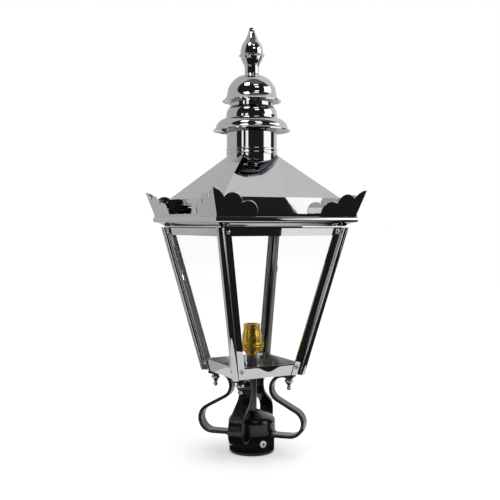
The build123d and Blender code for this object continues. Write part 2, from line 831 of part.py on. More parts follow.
# ---- roof: cornice, crests, curb and pyramid ----
def cornice():
    """Folded moulding: lower flange, lip, cove, bead, fillet and the deck behind the crests."""
    lip = top_half + cornice_lip
    band = seat_height + cornice_band
    cove = band + cove_rise
    bead = cove + bead_rise
    middle = ((lip + cornice_half) / 2 - cove_hollow * 0.45, (band + cove) / 2 + cove_hollow * 0.9)
    runs = [
        [(cornice_ledge, seat_height), (lip, seat_height)],
        [(lip, seat_height), (lip, band)],
        [(lip, band), middle, (cornice_half, cove)],
        [(cornice_half, cove), (cornice_half + bead_bulge, (cove + bead) / 2), (cornice_half, bead)],
        [(cornice_half, bead), (cornice_half, cornice_top)],
        [(cornice_half, cornice_top), (curb_half - deck_overlap, cornice_top)],
    ]
    ring = square_ring(shell_section(runs, sheet))
    for x, y in lid_rivet_places():
        ring -= Pos(x, y, seat_height) * Cylinder(hinge_rivet_radius + close_fit, 8 * sheet)
    for place in crest_rivet_places():
        ring -= place * Cylinder(crest_rivet_radius + close_fit, 8 * sheet)
    return ring


def crest_wing():
    """The front wing of the crest at the right front corner, before it is turned."""
    tilt = math.radians(crest_lean)
    rise = 1 / math.cos(tilt)
    shift = math.tan(tilt)

    def at(back, up):
        return (cornice_half + shift * up - back, up * rise)

    h, span = crest_height, crest_span
    first, second = (span * 0.24, h * 0.655), (span * 0.66, h * 0.44)
    edges = [
        Line(at(0, 0), at(0, h)),
        ThreePointArc(at(0, h), at(span * 0.172, h * 0.87), at(*first)),
        ThreePointArc(at(*first), at(span * 0.435, h * 0.82), at(*second)),
        ThreePointArc(at(*second), at(span * 0.83, h * 0.51), at(span, 0)),
        Line(at(span, 0), at(0, 0)),
    ]
    front = Plane(origin=(0, -cornice_half, cornice_top), x_dir=(1, 0, 0),
                  z_dir=(0, -math.cos(tilt), -math.sin(tilt)))
    wing = extrude(front * make_face(edges), amount=-crest_sheet)
    floor = Pos(0, 0, cornice_top + far / 2) * Box(4 * far, 4 * far, far)
    return wing & floor


def crest_rivet_places():
    out = cornice_half - crest_foot * 0.55
    places = []
    for turn in range(4):
        for along in (crest_span * 0.35, crest_span * 0.8):
            for x, y in ((cornice_half - along, -out), (out, -cornice_half + along)):
                places.append(Rot(0, 0, 90 * turn) * Pos(x, y, cornice_top))
    return places


def corner_crest():
    wing = crest_wing()
    flip = mirror(wing, about=Plane(origin=(0, 0, 0), z_dir=(1, 1, 0)))
    inset = crest_foot
    low = cornice_half - crest_span
    foot = section((low, -cornice_half), (cornice_half, -cornice_half), (cornice_half, -low),
                   (cornice_half - inset, -low), (cornice_half - inset, -cornice_half + inset),
                   (low, -cornice_half + inset))
    crest = wing + flip + extrude(Pos(0, 0, cornice_top) * foot, amount=crest_sheet)
    for place in crest_rivet_places():
        crest -= place * Cylinder(crest_rivet_radius + close_fit, 8 * crest_sheet)
    return crest


def crest_rivets():
    shank_length = crest_sheet + sheet
    rivet = Pos(0, 0, crest_sheet) * Cylinder(crest_rivet_radius, shank_length,
                                              align=(Align.CENTER, Align.CENTER, Align.MAX))
    rivet += spun(cap_face(crest_rivet_head, crest_sheet, crest_rivet_head * 0.5))
    return group([place * rivet for place in crest_rivet_places()])


def roof_curb():
    return square_ring(section((curb_half - sheet, cornice_top), (curb_half, cornice_top),
                               (curb_half, curb_top), (curb_half - sheet, curb_top)))


def roof_pyramid():
    apex = curb_top + curb_half * roof_rate
    drop = sheet / math.cos(math.radians(roof_slope))
    shell = square_ring(section((curb_half, curb_top), (0, apex), (0, apex - drop),
                                (curb_half - drop / roof_rate, curb_top)))
    bore = Cylinder(tube_radius + close_fit, far)
    return shell - Pos(0, 0, hip_height) * bore


# ---- chimney, dome and finial ----
def chimney_tube():
    tube = Pos(0, 0, tube_foot) * washer(tube_radius, tube_radius - sheet, tube_top - tube_foot)
    vent = Rot(0, 90, 0) * Cylinder(tube_vent_radius, 4 * sheet)
    for index in range(tube_vent_count):
        turn = 360 * (index + 0.5) / tube_vent_count
        tube -= Rot(0, 0, turn) * Pos(tube_radius, 0, tube_top - tube_vent_drop) * vent
    return tube


def tube_foot_ring():
    """Slim ring where the tube leaves the roof: two beads with a groove between."""
    inner = tube_radius + close_fit
    plain = inner + foot_ring_wall
    out = plain + foot_ring_bulge
    low = hip_height + foot_ring_lift
    h = foot_ring_height
    edges = [
        Line((inner, low), (plain, low)),
        ThreePointArc((plain, low), (out, low + h * 0.19), (plain, low + h * 0.38)),
        Line((plain, low + h * 0.38), (plain, low + h * 0.62)),
        ThreePointArc((plain, low + h * 0.62), (out, low + h * 0.81), (plain, low + h)),
        Line((plain, low + h), (inner, low + h)),
        Line((inner, low + h), (inner, low)),
    ]
    return spun(make_face(edges))


def canopy_rim(radius, z):
    """The rolled edge of a canopy, just round the end of its sheet."""
    half = canopy_rim_height / 2
    return Pos(0, 0, z - half) * washer(radius + sheet / 4, radius - canopy_rim_width, canopy_rim_height)


def vent_skirt():
    """Lower canopy: a short neck on the tube, a shoulder and a flared rim."""
    r, z = tube_radius + close_fit + sheet, tube_top
    flare = stretched([(1, 1), (0.889, 0.911), (0.798, 0.741)], r, skirt_reach, z, -skirt_drop)
    shoulder = stretched([(0.798, 0.741), (0.698, 0.504), (0.492, 0.296), (0.254, 0.163), (0, 0.089)],
                         r, skirt_reach, z, -skirt_drop)
    runs = [flare, shoulder, [shoulder[-1], (r, z)]]
    return spun(shell_section(runs, sheet)) + canopy_rim(r + skirt_reach, z - skirt_drop)


def waist_collar():
    """Rounded waist on the tube's top and a plain neck that goes up inside the dome."""
    neck = collar_radius
    wide = tube_radius + collar_swell - neck
    waist = stretched([(1, 0.095), (0.974, 0.262), (0.885, 0.452), (0.59, 0.738), (0.103, 0.933)],
                      neck, wide, tube_top, waist_height)
    top = tube_top + waist_height
    runs = [[(neck + wide, tube_top), waist[0]], waist, [waist[-1], (neck, top)],
            [(neck, top), (neck, collar_top)]]
    return spun(shell_section(runs, sheet))


def upper_dome():
    """Upper canopy: flared rim, rounded bell and a flat top drilled for the rod."""
    radius, z, rise = collar_radius + dome_reach, dome_lip, dome_top - dome_lip
    hole = rod_radius + rod_clearance
    flare = stretched([(1, 0), (0.916, 0.09), (0.862, 0.188), (0.836, 0.286)], 0, radius, z, rise)
    bell = stretched([(0.836, 0.286), (0.827, 0.384), (0.797, 0.521), (0.709, 0.697), (0.564, 0.873),
                      (0.41, 0.973)], 0, radius, z, rise) + [(dome_flat_radius, dome_top)]
    runs = [flare, bell, [bell[-1], (hole, dome_top)]]
    return spun(shell_section(runs, sheet)) + canopy_rim(radius, z)


def finial():
    """Turned finial: foot, neck, round bowl with a sharp rib, bud and blunt tip."""
    z, top, neck = dome_top, finial_top, finial_neck_radius
    foot, rib = z + finial_foot_height, z + finial_rib_height
    bowl_foot, bowl_top = z + finial_neck_height, rib - finial_rib_thickness / 2
    bud_foot, bud_top = rib + finial_rib_thickness / 2, top - finial_tip_bevel
    bowl = stretched([(0, 0), (0.14, 0.18), (0.46, 0.44), (0.8, 0.7), (1, 1)],
                     neck, finial_bowl_radius - neck, bowl_foot, bowl_top - bowl_foot)
    bud = stretched([(1, 0), (0.977, 0.113), (0.919, 0.23), (0.756, 0.388), (0.477, 0.535), (0.267, 0.673),
                     (0.105, 0.81), (0, 1)], finial_tip_radius + finial_tip_bevel,
                    finial_bud_radius - finial_tip_radius - finial_tip_bevel, bud_foot, bud_top - bud_foot)
    curve = (neck + 0.3 * (finial_foot_radius - neck), z + 0.4 * finial_foot_height)
    edges = [
        Line((0, z), (finial_foot_radius, z)),
        ThreePointArc((finial_foot_radius, z), curve, (neck, foot)),
        Line((neck, foot), bowl[0]),
        Spline(*bowl),
        Line(bowl[-1], (finial_rib_radius, rib)),
        Line((finial_rib_radius, rib), bud[0]),
        Spline(*bud),
        Line(bud[-1], (finial_tip_radius, top)),
        Line((finial_tip_radius, top), (0, top)),
        Line((0, top), (0, z)),
    ]
    body = spun(make_face(edges))
    thread = Pos(0, 0, z) * Cylinder(rod_radius + close_fit, finial_socket,
                                     align=(Align.CENTER, Align.CENTER, Align.MIN))
    return body - thread


def rod_bridge():
    bar = Box(bridge_length, bridge_width, bridge_thickness, align=(Align.CENTER, Align.CENTER, Align.MAX))
    hole = Cylinder(rod_radius + rod_clearance, 4 * bridge_thickness)
    return Pos(0, 0, tube_foot) * (bar - hole)


def finial_rod():
    low = tube_foot - bridge_thickness - rod_nut_height - 2
    high = dome_top + finial_socket - 1
    return Pos(0, 0, low) * Cylinder(rod_radius, high - low, align=(Align.CENTER, Align.CENTER, Align.MIN))


def rod_nut():
    ring = hexagon(rod_nut_width) - Circle(rod_radius + close_fit)
    return Pos(0, 0, tube_foot - bridge_thickness - rod_nut_height) * extrude(ring, amount=rod_nut_height)


def dome_spider():
    """Flat cross on the collar's rim that carries the dome's spacer."""
    arm = Box(2 * collar_radius - 1, spider_width, spider_thickness,
              align=(Align.CENTER, Align.CENTER, Align.MIN))
    cross = arm + Rot(0, 0, 90) * arm
    hole = Cylinder(rod_radius + rod_clearance, 4 * spider_thickness)
    return Pos(0, 0, collar_top) * (cross - hole)


def dome_spacer():
    low = collar_top + spider_thickness
    high = dome_top - sheet
    inner = rod_radius + rod_clearance
    return Pos(0, 0, low) * washer(inner + spacer_wall, inner, high - low)


# ---- hinges at the back ----
def hinge_centres():
    return [side * hinge_spacing / 2 for side in (-1, 1)]


def knuckle(length):
    ring = Circle(knuckle_radius) - Circle(hinge_pin_radius + hinge_pin_fit)
    return Pos(0, hinge_y, hinge_z) * Rot(0, 90, 0) * Pos(0, 0, -length / 2) * extrude(ring, amount=length)


def middle_length():
    return hinge_width / 3 - knuckle_gap


def outer_knuckles():
    length = (hinge_width - middle_length()) / 2 - knuckle_gap
    place = (hinge_width - length) / 2
    return [Pos(side * place, 0, 0) * knuckle(length) for side in (-1, 1)]


def frame_leaf_outer(z):
    return face_half(z) - sheet


def frame_rivet_places():
    z = seat_height - knuckle_radius * 2 - hinge_leaf_drop * 0.55
    return [(z, centre + side * hinge_width / 3) for centre in hinge_centres() for side in (-1, 1)]


def lid_rivet_places():
    y = (cornice_ledge + top_half) / 2
    return [(centre + side * hinge_width / 4, y) for centre in hinge_centres() for side in (-1, 1)]


def pin_tunnel(length):
    return Pos(0, hinge_y, hinge_z) * Rot(0, 90, 0) * Cylinder(hinge_pin_radius + hinge_pin_fit, length)


def hinge_frame_leaves():
    """Cranked plates riveted on the frieze, with the outer knuckles."""
    arm_low = hinge_z - knuckle_radius
    arm_high = arm_low + hinge_sheet
    foot = arm_low - hinge_leaf_drop
    side = section(
        (frame_leaf_outer(foot), foot), (frame_leaf_outer(arm_high), arm_high), (hinge_y, arm_high),
        (hinge_y, arm_low), (frame_leaf_outer(arm_low) + hinge_sheet, arm_low),
        (frame_leaf_outer(foot) + hinge_sheet, foot))
    plate = extrude(Plane.YZ * side, amount=hinge_width / 2, both=True)
    middle = Pos(0, hinge_y, hinge_z) * Box(middle_length() + 2 * knuckle_gap, 2 * knuckle_radius + 2,
                                            2 * knuckle_radius + 2)
    leaf = plate - middle
    for ring in outer_knuckles():
        leaf += ring
    leaf -= pin_tunnel(2 * hinge_width)
    leaves = [Pos(centre, 0, 0) * leaf for centre in hinge_centres()]
    drilled = []
    for leaf in leaves:
        for hole in hinge_rivet_holes():
            leaf -= hole
        drilled.append(leaf)
    return group(drilled)


def hinge_lid_leaves():
    """Flat straps under the cornice's lower flange, with the middle knuckles."""
    low = strap_top - hinge_sheet
    inner = cornice_ledge + 1
    edge = top_half + cornice_lip
    strap = Pos(0, (inner + edge) / 2, low) * Box(hinge_width, edge - inner, hinge_sheet,
                                                  align=(Align.CENTER, Align.CENTER, Align.MIN))
    tongue = Pos(0, (edge + hinge_y) / 2, low) * Box(middle_length(), hinge_y - edge, hinge_sheet,
                                                     align=(Align.CENTER, Align.CENTER, Align.MIN))
    leaf = strap + tongue + knuckle(middle_length())
    leaf -= pin_tunnel(2 * hinge_width)
    drill = Cylinder(hinge_rivet_radius + close_fit, 8 * sheet)
    leaves = []
    for centre in hinge_centres():
        piece = Pos(centre, 0, 0) * leaf
        for x, y in lid_rivet_places():
            piece -= Pos(x, y, seat_height) * drill
        leaves.append(piece)
    return group(leaves)


def hinge_pins():
    length = hinge_width + 2 * close_fit
    pin = Cylinder(hinge_pin_radius, length)
    for side in (-1, 1):
        head = Cylinder(hinge_pin_head, hinge_pin_head_length)
        pin += Pos(0, 0, side * (length + hinge_pin_head_length) / 2) * head
    turned = Pos(0, hinge_y, hinge_z) * Rot(0, 90, 0) * pin
    return group([Pos(centre, 0, 0) * turned for centre in hinge_centres()])


def rivet(length):
    """Rivet with its head above the plane Z = 0 and its shank below."""
    shank = Cylinder(hinge_rivet_radius, length, align=(Align.CENTER, Align.CENTER, Align.MAX))
    head = Cylinder(hinge_rivet_head, hinge_rivet_head_height,
                    align=(Align.CENTER, Align.CENTER, Align.MIN))
    return shank + fillet(head.edges().group_by(Axis.Z)[-1], hinge_rivet_head_height * 0.6)


def hinge_frame_rivets():
    thick = sheet * math.cos(math.radians(lean))
    outside = (hinge_sheet - sheet) * math.cos(math.radians(lean))
    piece = Pos(0, 0, outside) * rivet(thick + hinge_sheet)
    return group([on_side(z, across, 1) * piece for z, across in frame_rivet_places()])


def hinge_lid_rivets():
    piece = rivet(sheet + hinge_sheet)
    return group([Pos(x, y, seat_height + sheet) * piece for x, y in lid_rivet_places()])


# ---- write every piece ----
def main():
    os.makedirs("parts", exist_ok=True)
    bracket, crown = post_bracket()
    nodes = {
        "post_bracket": bracket,
        "cable_conduit": cable_conduit(crown),
        "conduit_locknuts": conduit_locknuts(),
        "base_tray": base_tray(),
        "base_bolts": base_bolts(),
        "acorn_washers": acorn_washers(),
        "acorn_nuts": acorn_nuts(),
        "earth_terminal": earth_terminal(),
        "top_frame": top_frame(),
        "glazing_strips": glazing_strips(),
        "pane_clips": pane_clips(),
        "flange_screws": placed_fixings(lambda upper: flange_screw()),
        "flange_washers": placed_fixings(flange_washer),
        "flange_nuts": placed_fixings(lambda upper: flange_nut()),
        "lid_seal": lid_seal(),
        "holder_cap": holder_cap(),
        "shade_rings": shade_rings(),
        "holder_skirt": holder_skirt(),
        "holder_sleeve": holder_sleeve(),
        "holder_insulator": holder_insulator(),
        "contact_plunger_left": contact_plunger(-1),
        "contact_plunger_right": contact_plunger(1),
        "plunger_spring_left": plunger_spring(-1),
        "plunger_spring_right": plunger_spring(1),
        "cornice": cornice(),
        "crest_rivets": crest_rivets(),
        "roof_curb": roof_curb(),
        "roof_pyramid": roof_pyramid(),
        "chimney_tube": chimney_tube(),
        "tube_foot_ring": tube_foot_ring(),
        "vent_skirt": vent_skirt(),
        "waist_collar": waist_collar(),
        "upper_dome": upper_dome(),
        "finial": finial(),
        "finial_rod": finial_rod(),
        "rod_bridge": rod_bridge(),
        "rod_nut": rod_nut(),
        "dome_spider": dome_spider(),
        "dome_spacer": dome_spacer(),
        "hinge_frame_leaves": hinge_frame_leaves(),
        "hinge_lid_leaves": hinge_lid_leaves(),
        "hinge_pins": hinge_pins(),
        "hinge_frame_rivets": hinge_frame_rivets(),
        "hinge_lid_rivets": hinge_lid_rivets(),
    }
    side_names = ("right", "back", "left", "front")
    corner_names = ("back_right", "back_left", "front_left", "front_right")
    for name, piece in zip(side_names, quarters(clamp_screw())):
        nodes["clamp_screw_" + name] = piece
    for name, piece in zip(side_names, quarters(glass_pane())):
        nodes["glass_pane_" + name] = piece
    post = corner_post()
    for cut in flange_holes():
        post -= cut
    for name, piece in zip(corner_names, quarters(post)):
        nodes["corner_post_" + name] = piece
    for name, piece in zip(corner_names, quarters(corner_crest(), 90)):
        nodes["crest_" + name] = piece
    for name, piece in nodes.items():
        export_step(piece, "parts/" + name + ".step")
    print(len(nodes), "nodes written, overall height", round(finial_top, 1))


main()
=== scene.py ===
import json
import math
import bmesh
import bpy
from mathutils import Matrix, Vector


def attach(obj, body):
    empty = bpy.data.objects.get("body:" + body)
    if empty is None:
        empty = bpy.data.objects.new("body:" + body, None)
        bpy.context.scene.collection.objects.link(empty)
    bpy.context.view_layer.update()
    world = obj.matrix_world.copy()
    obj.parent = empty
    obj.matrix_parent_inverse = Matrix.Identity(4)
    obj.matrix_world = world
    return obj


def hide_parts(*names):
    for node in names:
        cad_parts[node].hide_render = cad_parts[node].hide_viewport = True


# Square tapered lantern on a cast post bracket, about 850 mm tall. Metres, +Z up, front at -Y.

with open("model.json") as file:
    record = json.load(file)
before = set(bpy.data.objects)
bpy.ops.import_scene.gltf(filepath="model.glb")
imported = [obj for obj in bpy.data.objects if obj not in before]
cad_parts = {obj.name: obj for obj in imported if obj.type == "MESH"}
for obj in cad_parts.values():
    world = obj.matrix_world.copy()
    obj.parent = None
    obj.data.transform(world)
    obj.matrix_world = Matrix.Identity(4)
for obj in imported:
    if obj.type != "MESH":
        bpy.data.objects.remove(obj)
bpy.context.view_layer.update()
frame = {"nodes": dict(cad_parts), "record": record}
nodes = frame["nodes"]
mm = 0.001
print("frame loaded:", len(nodes), "nodes")


def linear(hexText):  # sRGB hex to a linear colour
    channels = [int(hexText[i:i + 2], 16) / 255 for i in (1, 3, 5)]
    return [c / 12.92 if c <= 0.04045 else ((c + 0.055) / 1.055) ** 2.4 for c in channels] + [1.0]


def addNode(tree, kind, links, **settings):  # links: socket name or number to a value or another socket
    node = tree.nodes.new(kind)
    for name, value in settings.items():
        setattr(node, name, value)
    for socket, value in links.items():
        if isinstance(value, bpy.types.NodeSocket):
            tree.links.new(value, node.inputs[socket])
        else:
            node.inputs[socket].default_value = value
    return node


def startMaterial(name):  # an empty node tree and the object's own coordinates
    material = bpy.data.materials.new(name)
    material.use_nodes = True
    tree = material.node_tree
    tree.nodes.clear()
    return material, tree, addNode(tree, "ShaderNodeTexCoord", {}).outputs["Object"]


def finishMaterial(tree, links):  # the shader that every piece of the object has
    shader = addNode(tree, "ShaderNodeBsdfPrincipled", links)
    addNode(tree, "ShaderNodeOutputMaterial", {"Surface": shader.outputs[0]})


noiseLow, noiseHigh = 0.35, 0.65  # the part of its range that soft noise really fills

# one function serves every bare metal: smudges change its colour and gloss, two bumps bend what it mirrors
metalLooks = {
    # 304 stainless sheet, mirror polished and folded: a clear mirror with slow waves, faint polishing haze
    "polishedStainlessSheet": {"bright": "#D6D6D8", "dull": "#C8C9CB", "gloss": 0.0, "haze": 0.03,
                               "smudge": 45, "wave": 110, "waveDepth": 0.3, "grain": (9, 9, 30),
                               "grainDepth": 0.004},
    # the same sheet spun on a lathe: rings round its axis instead of waves
    "spunStainless": {"bright": "#D6D6D8", "dull": "#CACBCD", "gloss": 0.01, "haze": 0.04, "smudge": 30,
                      "wave": 60, "waveDepth": 0.05, "grain": (60, 60, 4), "grainDepth": 0.003},
    # turned and nickel plated steel: small parts, so their smudges are small
    "nickelledSteel": {"bright": "#DCDCDD", "dull": "#BFC0C3", "gloss": 0.06, "haze": 0.16, "smudge": 7,
                       "wave": 9, "waveDepth": 0.03, "grain": (1.6, 1.6, 0.5), "grainDepth": 0.004},
    # pressed brass under clear lacquer: deep yellow, softer mirror, a few darker tarnished places
    "lacqueredBrass": {"bright": "#FFE36A", "dull": "#DCA534", "gloss": 0.18, "haze": 0.34, "smudge": 5,
                       "wave": 12, "waveDepth": 0.05, "grain": (14, 14, 0.8), "grainDepth": 0.01},
    # zinc flake coating baked on screws: pale silver, partly a paint, so it is bright from every side
    "zincFlakedSteel": {"bright": "#F2F2F3", "dull": "#DADBDE", "gloss": 0.30, "haze": 0.42, "smudge": 4,
                        "metal": 0.35, "wave": 9, "waveDepth": 0.03, "grain": (1.6, 1.6, 0.5),
                        "grainDepth": 0.004},
    # drawn conduit left as it came: dull grey with lines along its length
    "dullDrawnTube": {"bright": "#7C7C7D", "dull": "#545455", "gloss": 0.28, "haze": 0.42, "smudge": 18,
                      "wave": 20, "waveDepth": 0.03, "grain": (0.8, 0.8, 40), "grainDepth": 0.01},
}


def bareMetal(name, shapeIt=None, ending=""):
    look = metalLooks[name]
    material, tree, place = startMaterial(name + ending)
    smudge = addNode(tree, "ShaderNodeTexNoise", {"Vector": place, "Scale": 1 / (look["smudge"] * mm),
                                                  "Detail": 5.0, "Roughness": 0.6}).outputs["Fac"]
    colour = addNode(tree, "ShaderNodeMix", {0: smudge, 6: linear(look["dull"]), 7: linear(look["bright"])},
                     data_type="RGBA").outputs[2]
    rough = addNode(tree, "ShaderNodeMapRange", {"Value": smudge, "From Min": noiseLow, "From Max": noiseHigh,
                                                 "To Min": look["haze"], "To Max": look["gloss"]}).outputs[0]
    wave = addNode(tree, "ShaderNodeTexNoise", {"Vector": place, "Scale": 1 / (look["wave"] * mm),
                                                "Detail": 0.0, "Roughness": 0.3}).outputs["Fac"]
    bent = addNode(tree, "ShaderNodeBump", {"Height": wave, "Distance": look["waveDepth"] * mm}).outputs[0]
    along = addNode(tree, "ShaderNodeMapping",
                    {"Vector": place, "Scale": [1 / (size * mm) for size in look["grain"]]}).outputs[0]
    grain = addNode(tree, "ShaderNodeTexNoise", {"Vector": along, "Scale": 1.0,
                                                 "Detail": 1.0}).outputs["Fac"]
    normal = addNode(tree, "ShaderNodeBump", {"Height": grain, "Distance": look["grainDepth"] * mm,
                                              "Normal": bent}).outputs[0]
    surface = {"Base Color": colour, "Roughness": rough, "Metallic": look.get("metal", 1.0), "Normal": normal}
    if shapeIt:
        surface.update(shapeIt(tree, place, surface))
    finishMaterial(tree, surface)
    return material


foldLook = {"top": 183.5, "narrow": 2.5, "wide": 12.0, "halfSpan": 28, "slope": 0.13, "foot": 160.5,
            "middle": 68.75, "lean": 0.2127, "millFinish": 0.45}


def trayFold(tree, place, surface):
    # the tray's walls lean in where they roll into their hem, from furthest down in the middle of each side
    look = foldLook
    axes = addNode(tree, "ShaderNodeSeparateXYZ", {"Vector": place}).outputs
    across = [addNode(tree, "ShaderNodeMath", {0: axes[i]}, operation="ABSOLUTE").outputs[0] for i in (0, 1)]
    fromMiddle = addNode(tree, "ShaderNodeMath", {0: across[0], 1: across[1]},
                         operation="MINIMUM").outputs[0]
    start = addNode(tree, "ShaderNodeMapRange", {"Value": fromMiddle, "From Min": 0.0,
                                                 "From Max": look["halfSpan"] * mm,
                                                 "To Min": (look["top"] - look["wide"]) * mm,
                                                 "To Max": (look["top"] - look["narrow"]) * mm},
                    interpolation_type="SMOOTHSTEP").outputs[0]
    above = addNode(tree, "ShaderNodeMath", {0: axes[2], 1: start}, operation="SUBTRACT").outputs[0]
    rolled = addNode(tree, "ShaderNodeMath", {0: above, 1: 0.0}, operation="MAXIMUM").outputs[0]
    height = addNode(tree, "ShaderNodeMath", {0: rolled, 1: -look["slope"]},
                     operation="MULTIPLY").outputs[0]
    bent = addNode(tree, "ShaderNodeBump", {"Height": height, "Distance": 1.0, "Normal": surface["Normal"]})
    # only the outside was polished: the floor and the walls' inner faces keep the mill's dull finish
    out = addNode(tree, "ShaderNodeMath", {0: across[0], 1: across[1]}, operation="MAXIMUM").outputs[0]
    leaned = addNode(tree, "ShaderNodeMath", {0: axes[2], 1: -look["lean"], 2: out},
                     operation="MULTIPLY_ADD").outputs[0]
    edge = (look["middle"] - look["lean"] * look["foot"]) * mm
    within = addNode(tree, "ShaderNodeMath", {0: leaned, 1: edge}, operation="LESS_THAN").outputs[0]
    dull = addNode(tree, "ShaderNodeMath", {0: within, 1: look["millFinish"]},
                   operation="MULTIPLY").outputs[0]
    rough = addNode(tree, "ShaderNodeMath", {0: surface["Roughness"], 1: dull}, operation="MAXIMUM")
    return {"Roughness": rough.outputs[0], "Normal": bent.outputs[0]}


filletLook = {"foot": 472.0, "slope": 0.32}


def corniceLean(tree, place, surface):
    # the cornice's top fillet was folded a little past upright, so it mirrors the floor and not the wall
    look = filletLook
    axes = addNode(tree, "ShaderNodeSeparateXYZ", {"Vector": place}).outputs
    above = addNode(tree, "ShaderNodeMath", {0: axes[2], 1: look["foot"] * mm},
                    operation="SUBTRACT").outputs[0]
    rise = addNode(tree, "ShaderNodeMath", {0: above, 1: 0.0}, operation="MAXIMUM").outputs[0]
    height = addNode(tree, "ShaderNodeMath", {0: rise, 1: look["slope"]},
                     operation="MULTIPLY").outputs[0]
    bent = addNode(tree, "ShaderNodeBump", {"Height": height, "Distance": 1.0, "Normal": surface["Normal"]})
    return {"Normal": bent.outputs[0]}


# painted shade in the clamp screws' hexagon sockets, sizes in mm: the colour under "paint" is that near-black
# shade
socketShadeLook = {"height": 24.0, "radius": 2.7, "paint": "#0B0B0B"}


def socketRecessShade(tree, place, surface):
    # painted shade: the clamp screws' hexagon sockets are coloured near black, standing in for the shade
    # inside the recesses
    look = socketShadeLook
    axes = addNode(tree, "ShaderNodeSeparateXYZ", {"Vector": place}).outputs
    across = [addNode(tree, "ShaderNodeMath", {0: axes[i]}, operation="ABSOLUTE").outputs[0] for i in (0, 1)]
    side = addNode(tree, "ShaderNodeMath", {0: across[0], 1: across[1]}, operation="MINIMUM").outputs[0]
    rise = addNode(tree, "ShaderNodeMath", {0: axes[2], 1: look["height"] * mm},
                   operation="SUBTRACT").outputs[0]
    apart = addNode(tree, "ShaderNodeCombineXYZ", {0: side, 1: rise}).outputs[0]
    away = addNode(tree, "ShaderNodeVectorMath", {0: apart}, operation="LENGTH").outputs["Value"]
    inside = addNode(tree, "ShaderNodeMath", {0: away, 1: look["radius"] * mm},
                     operation="LESS_THAN").outputs[0]
    colour = addNode(tree, "ShaderNodeMix", {0: inside, 6: surface["Base Color"], 7: linear(look["paint"])},
                     data_type="RGBA")
    return {"Base Color": colour.outputs[2]}


castingLook = {"paint": "#050506", "worn": "#0E0E0F", "glossy": 0.18, "dulled": 0.32, "patch": 26,
               "peel": 6.0, "peelDepth": 0.10, "sand": 1.6, "sandDepth": 0.035}


def blackCasting():
    # black enamel on a sand casting: the paint levels the sand to an orange peel, so its highlights are
    # soft streaks
    look = castingLook
    material, tree, place = startMaterial("blackEnamelledCasting")
    patch = addNode(tree, "ShaderNodeTexNoise", {"Vector": place, "Scale": 1 / (look["patch"] * mm),
                                                 "Detail": 4.0, "Roughness": 0.6}).outputs["Fac"]
    colour = addNode(tree, "ShaderNodeMix", {0: patch, 6: linear(look["paint"]), 7: linear(look["worn"])},
                     data_type="RGBA").outputs[2]
    rough = addNode(tree, "ShaderNodeMapRange", {"Value": patch, "From Min": noiseLow, "From Max": noiseHigh,
                                                 "To Min": look["glossy"],
                                                 "To Max": look["dulled"]}).outputs[0]
    sand = addNode(tree, "ShaderNodeTexNoise", {"Vector": place, "Scale": 1 / (look["sand"] * mm),
                                                "Detail": 2.0}).outputs["Fac"]
    sanded = addNode(tree, "ShaderNodeBump", {"Height": sand, "Distance": look["sandDepth"] * mm}).outputs[0]
    peel = addNode(tree, "ShaderNodeTexNoise", {"Vector": place, "Scale": 1 / (look["peel"] * mm),
                                                "Detail": 1.0}).outputs["Fac"]
    normal = addNode(tree, "ShaderNodeBump", {"Height": peel, "Distance": look["peelDepth"] * mm,
                                              "Normal": sanded}).outputs[0]
    finishMaterial(tree, {"Base Color": colour, "Roughness": rough, "Normal": normal,
                          "Specular IOR Level": 0.5, "Coat Weight": 0.3, "Coat Roughness": 0.16})
    return material


glassLook = {"clean": "#FFFFFF", "dusty": "#FDFFFE", "patch": 60}


def clearGlass():
    # 3 mm float glass, clean: nearly unseen, so its index is taken low; a little dust turns it off white
    look = glassLook
    material, tree, place = startMaterial("clearFloatGlass")
    dust = addNode(tree, "ShaderNodeTexNoise", {"Vector": place, "Scale": 1 / (look["patch"] * mm),
                                                "Detail": 3.0}).outputs["Fac"]
    colour = addNode(tree, "ShaderNodeMix", {0: dust, 6: linear(look["clean"]), 7: linear(look["dusty"])},
                     data_type="RGBA").outputs[2]
    finishMaterial(tree, {"Base Color": colour, "Roughness": 0.0, "IOR": 1.1, "Transmission Weight": 1.0})
    return material


def mattSurface(name, dark, light, roughness, size, stretch, bumpSize, bumpDepth):  # sizes in mm
    material, tree, place = startMaterial(name)
    along = addNode(tree, "ShaderNodeMapping", {"Vector": place, "Scale": stretch}).outputs[0]
    shade = addNode(tree, "ShaderNodeTexNoise", {"Vector": along, "Scale": 1 / (size * mm),
                                                 "Detail": 3.0}).outputs["Fac"]
    colour = addNode(tree, "ShaderNodeMix", {0: shade, 6: linear(dark), 7: linear(light)},
                     data_type="RGBA").outputs[2]
    fine = addNode(tree, "ShaderNodeTexNoise", {"Vector": place,
                                                "Scale": 1 / (bumpSize * mm)}).outputs["Fac"]
    normal = addNode(tree, "ShaderNodeBump", {"Height": fine, "Distance": bumpDepth * mm}).outputs[0]
    finishMaterial(tree, {"Base Color": colour, "Roughness": roughness, "Normal": normal})
    return material


steel = bareMetal("polishedStainlessSheet")
spun = bareMetal("spunStainless")
nickel = bareMetal("nickelledSteel")
brass = bareMetal("lacqueredBrass")
drawnTube = bareMetal("dullDrawnTube")
# zinc flake for the clamp screws, with painted shade in their hexagon sockets
zinc = bareMetal("zincFlakedSteel", socketRecessShade)
traySteel = bareMetal("polishedStainlessSheet", trayFold, "OfTray")
corniceSteel = bareMetal("polishedStainlessSheet", corniceLean, "OfCornice")
casting = blackCasting()
glass = clearGlass()
# extruded EPDM: matte black, faint streaks along its length
rubber = mattSurface("blackSealRubber", "#131313", "#222222", 0.7, 12, (1, 1, 0.1), 1.5, 0.03)
# grey butyl glazing tape between glass and flanges: dull, a little uneven where it was pressed
tape = mattSurface("greyGlazingTape", "#6C6C66", "#8B8B84", 0.5, 14, (1, 1, 0.3), 2, 0.05)
# steatite under a clear glaze: warm white with a soft shine
ceramic = mattSurface("whiteGlazedCeramic", "#E0DBCE", "#EFEBE0", 0.22, 9, (1, 1, 1), 4, 0.04)

